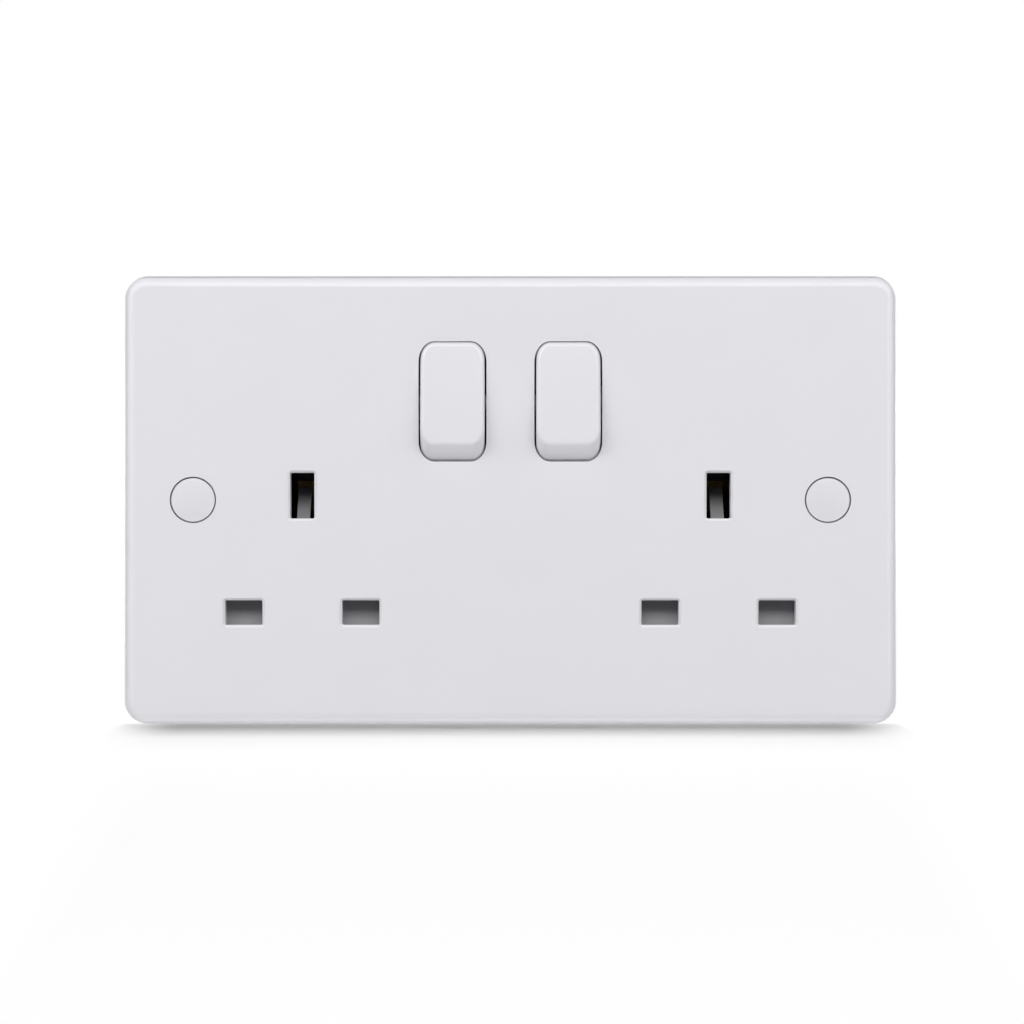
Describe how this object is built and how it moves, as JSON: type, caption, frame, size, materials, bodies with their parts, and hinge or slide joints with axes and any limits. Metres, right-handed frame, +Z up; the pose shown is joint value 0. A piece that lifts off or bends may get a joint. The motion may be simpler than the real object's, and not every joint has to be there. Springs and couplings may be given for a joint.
{
  "type": "twin switched socket outlet",
  "caption": "White UK twin wall socket: rectangular plate with rocker switches, shuttered pin slots, capped fixing screws and a dark rear housing with cable terminals.",
  "frame": {"origin": "midway between the two fixing screws, on the wall plane that the plate's rear rim touches", "axes": "+X to the right seen from the front, +Y into the wall, +Z up"},
  "size_m": [0.148, 0.0334, 0.086],
  "materials": {
    "white_plastic": "gloss white moulding",
    "dark_plastic": "fine matt moulding",
    "grey_plastic": "matt moulding",
    "nylon": "natural nylon",
    "spring_steel": "drawn wire",
    "zinc_steel": "bright zinc",
    "brass": "rolled brass",
    "brass_screw": "turned brass",
    "contact_silver": "silver alloy"
  },
  "bodies": {
    "frame": {"earth_clip_left": "brass", "earth_clip_right": "brass", "earth_strap": "brass", "fixed_tip_left": "contact_silver", "fixed_tip_right": "contact_silver", "fixing_screw_left": "zinc_steel", "fixing_screw_right": "zinc_steel", "front_plate": "white_plastic", "housing_screws": "zinc_steel", "live_busbar": "brass", "live_clip_left": "brass", "live_clip_right": "brass", "live_strap_left": "brass", "live_strap_right": "brass", "neutral_clip_left": "brass", "neutral_clip_right": "brass", "neutral_strap": "brass", "rear_housing": "dark_plastic", "screw_cap_left": "white_plastic", "screw_cap_right": "white_plastic", "shutter_spring_left": "spring_steel", "shutter_spring_right": "spring_steel", "terminal_earth_left": "brass", "terminal_earth_right": "brass", "terminal_live": "brass", "terminal_neutral": "brass", "terminal_screws": "brass_screw"},
    "rocker_left": {"rocker_left": "white_plastic", "plunger_spring_left": "spring_steel"},
    "plunger_left": {"plunger_left": "nylon"},
    "see_saw_left": {"moving_contact_left": "brass", "moving_tip_left": "contact_silver"},
    "shutter_left": {"shutter_left": "grey_plastic"},
    "rocker_right": {"rocker_right": "white_plastic", "plunger_spring_right": "spring_steel"},
    "plunger_right": {"plunger_right": "nylon"},
    "see_saw_right": {"moving_contact_right": "brass", "moving_tip_right": "contact_silver"},
    "shutter_right": {"shutter_right": "grey_plastic"}
  },
  "joints": [
    {"name": "rocker_left_hinge", "type": "hinge", "parent": "frame", "child": "rocker_left", "pos_m": [-0.011, -0.001, 0.0187], "axis": [1, 0, 0], "range_deg": [0, 16]},
    {"name": "plunger_left_slide", "type": "slide", "parent": "rocker_left", "child": "plunger_left", "axis": [0, -0.9903, 0.1392], "range_m": [0, 0.0006], "stiffness_N_per_m": 400, "springref_m": -0.002, "deforming": ["plunger_spring_left"]},
    {"name": "see_saw_left_hinge", "type": "hinge", "parent": "frame", "child": "see_saw_left", "pos_m": [-0.011, 0.008, 0.0187], "axis": [1, 0, 0], "range_deg": [-12, 0]},
    {"name": "shutter_left_slide", "type": "slide", "parent": "frame", "child": "shutter_left", "axis": [0, 0, -1], "range_m": [0, 0.00575], "stiffness_N_per_m": 120, "springref_m": -0.006, "deforming": ["shutter_spring_left"]},
    {"name": "rocker_right_hinge", "type": "hinge", "parent": "frame", "child": "rocker_right", "pos_m": [0.011, -0.001, 0.0187], "axis": [1, 0, 0], "range_deg": [0, 16]},
    {"name": "plunger_right_slide", "type": "slide", "parent": "rocker_right", "child": "plunger_right", "axis": [0, -0.9903, 0.1392], "range_m": [0, 0.0006], "stiffness_N_per_m": 400, "springref_m": -0.002, "deforming": ["plunger_spring_right"]},
    {"name": "see_saw_right_hinge", "type": "hinge", "parent": "frame", "child": "see_saw_right", "pos_m": [0.011, 0.008, 0.0187], "axis": [1, 0, 0], "range_deg": [-12, 0]},
    {"name": "shutter_right_slide", "type": "slide", "parent": "frame", "child": "shutter_right", "axis": [0, 0, -1], "range_m": [0, 0.00575], "stiffness_N_per_m": 120, "springref_m": -0.006, "deforming": ["shutter_spring_right"]}
  ],
  "couplings": [
    {"joint": "see_saw_left_hinge", "follows": "rocker_left_hinge", "ratio": -0.75},
    {"joint": "see_saw_right_hinge", "follows": "rocker_right_hinge", "ratio": -0.75}
  ]
}
